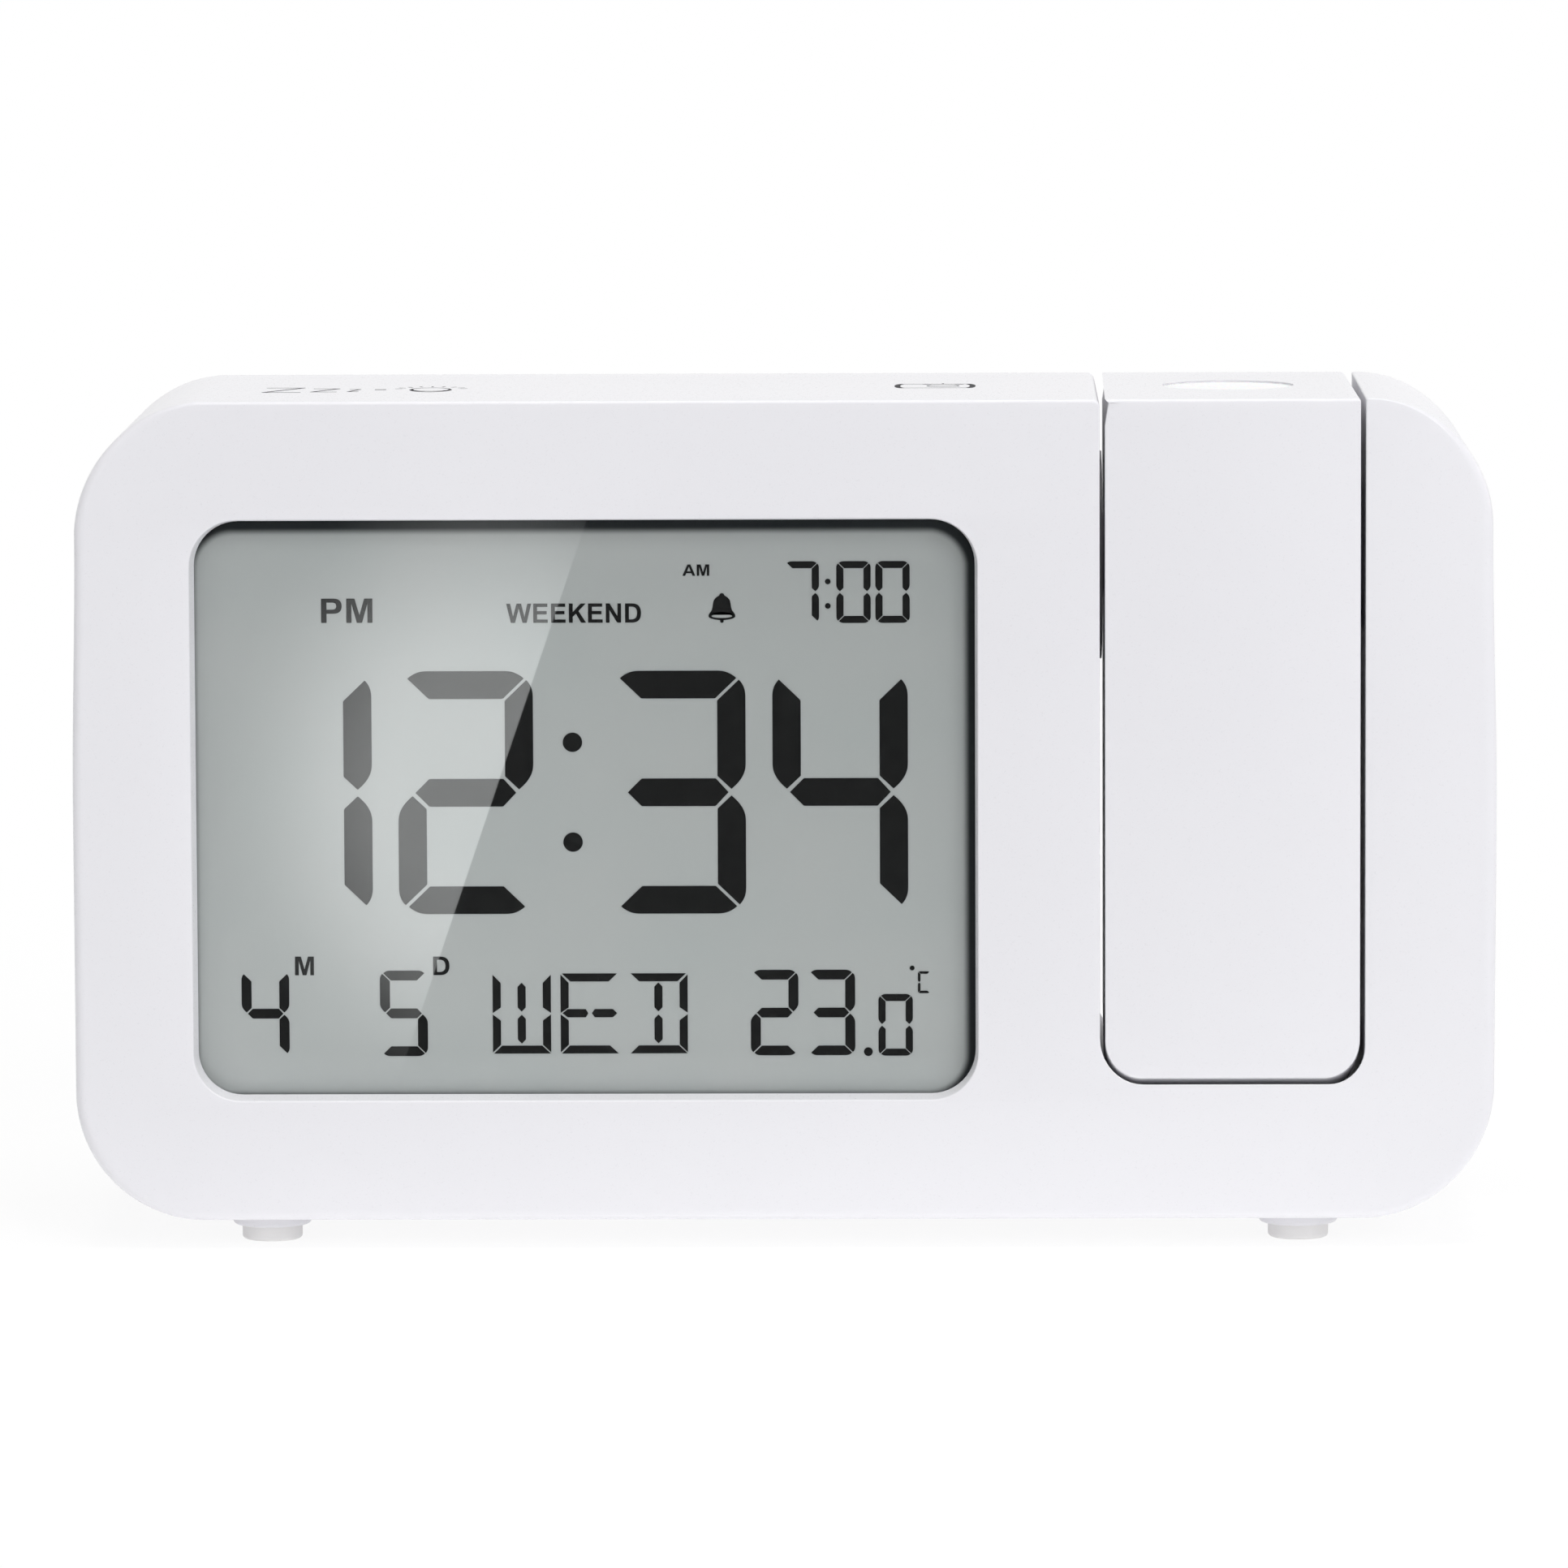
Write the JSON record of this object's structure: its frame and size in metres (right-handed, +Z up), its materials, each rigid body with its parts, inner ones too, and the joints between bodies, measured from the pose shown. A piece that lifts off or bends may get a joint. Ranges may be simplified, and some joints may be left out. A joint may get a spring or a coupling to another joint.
{
  "type": "projection alarm clock",
  "caption": "Flat desk alarm clock with a large recessed display and a projector arm that turns in a slot through the case.",
  "frame": {"origin": "on the table under the middle of the clock: the middle of its bounding box's bottom face, at the level of the foot pads", "axes": "+X to the right seen from the front, +Y to the back, +Z up; the display faces -Y"},
  "size_m": [0.15, 0.041, 0.0899],
  "materials": {
    "shell_plastic": "satin white, fine texture",
    "cover_plastic": "matt white, fine spark texture",
    "key_plastic": "matt light grey",
    "slider_plastic": "matt dark grey",
    "clear_sheet": "clear, glossy",
    "lens_window": "white translucent, glossy",
    "lcd_glass": "grey-green liquid crystal cell with a polariser",
    "slide_glass": "dark liquid crystal cell",
    "optic_clear": "clear, polished",
    "diffuser": "milky clear",
    "holder_plastic": "plain",
    "foam": "thin black foam",
    "zebra_rubber": "striped conductive rubber",
    "board_laminate": "green solder mask",
    "chip_epoxy": "black epoxy",
    "led_epoxy": "clear pale epoxy",
    "can_steel": "plated",
    "spring_steel": "nickel plated",
    "capacitor_sleeve": "dark blue sleeve",
    "cell_can": "plain printed sleeve",
    "electrode_foil": "thin foil",
    "sensor_bead": "dipped bead",
    "lead_red": "soft insulation",
    "lead_grey": "soft insulation",
    "bush_nylon": "dark nylon",
    "washer_rubber": "matt",
    "foot_rubber": "pale silicone rubber",
    "projector_plastic": "black"
  },
  "bodies": {
    "case": {"front_housing": "shell_plastic", "rear_cover": "cover_plastic", "display_window": "clear_sheet", "display_gasket": "foam", "lcd_panel": "lcd_glass", "lcd_holder": "holder_plastic", "light_guide": "diffuser", "zebra_strips": "zebra_rubber", "main_board": "board_laminate", "backlight_leds": "led_epoxy", "board_chips": "chip_epoxy", "crystal_can": "can_steel", "capacitors": "capacitor_sleeve", "touch_board": "board_laminate", "touch_springs": "spring_steel", "touch_electrodes": "electrode_foil", "key_board": "board_laminate", "key_switches": "chip_epoxy", "slide_switch_body": "can_steel", "usb_socket": "can_steel", "temperature_sensor": "sensor_bead", "buzzer": "chip_epoxy", "buzzer_leads": "lead_red", "board_ribbon": "lead_grey", "battery_cells": "cell_can", "battery_springs": "spring_steel", "battery_contacts": "spring_steel", "battery_leads": "lead_red", "case_cable": "lead_grey", "left_bush": "bush_nylon", "right_bush": "bush_nylon", "foot_pads": "foot_rubber", "case_screws": "can_steel", "board_screws": "can_steel"},
    "arm": {"arm_shell": "shell_plastic", "arm_rear_cover": "cover_plastic", "left_trunnion": "bush_nylon", "right_trunnion": "bush_nylon", "friction_washer": "washer_rubber", "retaining_ring": "spring_steel", "arm_cable": "lead_grey", "lens_cover": "lens_window", "projector_housing": "projector_plastic", "condenser_lens": "optic_clear", "projection_slide": "slide_glass", "projector_led": "led_epoxy", "led_board": "board_laminate", "arm_screws": "can_steel", "projector_screws": "can_steel"},
    "lens_carriage": {"lens_barrel": "projector_plastic", "projection_lens": "optic_clear"},
    "focus_wheel": {"focus_knob": "key_plastic"},
    "alarm_key": {"alarm_button": "key_plastic"},
    "set_key": {"set_button": "key_plastic"},
    "up_key": {"up_button": "key_plastic"},
    "down_key": {"down_button": "key_plastic"},
    "flip_key": {"flip_button": "key_plastic"},
    "switch_slider": {"slide_knob": "slider_plastic"},
    "bay_door": {"battery_door": "cover_plastic"}
  },
  "joints": [
    {"name": "arm_tilt", "type": "hinge", "parent": "case", "child": "arm", "pos_m": [0.0472, -0.0005, 0.0718], "axis": [1, 0, 0], "range_deg": [-90, 90]},
    {"name": "focus_turn", "type": "hinge", "parent": "arm", "child": "focus_wheel", "pos_m": [0.0472, 0.0195, 0.0548], "axis": [0, 1, 0], "range_deg": [-34, 34]},
    {"name": "lens_slide", "type": "slide", "parent": "arm", "child": "lens_carriage", "axis": [0, 0, 1], "range_m": [-0.00148, 0.00148]},
    {"name": "alarm_press", "type": "slide", "parent": "case", "child": "alarm_key", "axis": [0, -1, 0], "range_m": [0, 0.0006], "stiffness_N_per_m": 800, "springref_m": -0.0003},
    {"name": "set_press", "type": "slide", "parent": "case", "child": "set_key", "axis": [0, -1, 0], "range_m": [0, 0.0006], "stiffness_N_per_m": 800, "springref_m": -0.0003},
    {"name": "up_press", "type": "slide", "parent": "case", "child": "up_key", "axis": [0, -1, 0], "range_m": [0, 0.0006], "stiffness_N_per_m": 800, "springref_m": -0.0003},
    {"name": "down_press", "type": "slide", "parent": "case", "child": "down_key", "axis": [0, -1, 0], "range_m": [0, 0.0006], "stiffness_N_per_m": 800, "springref_m": -0.0003},
    {"name": "flip_press", "type": "slide", "parent": "case", "child": "flip_key", "axis": [0, -1, 0], "range_m": [0, 0.0006], "stiffness_N_per_m": 800, "springref_m": -0.0003},
    {"name": "switch_slide", "type": "slide", "parent": "case", "child": "switch_slider", "axis": [1, 0, 0], "range_m": [0, 0.003]},
    {"name": "door_swing", "type": "hinge", "parent": "case", "child": "bay_door", "pos_m": [-0.035, 0.0181, 0.015], "axis": [-1, 0, 0], "range_deg": [0, 75]}
  ],
  "couplings": [
    {"joint": "focus_turn", "follows": "lens_slide", "rad_per_m": 400}
  ]
}
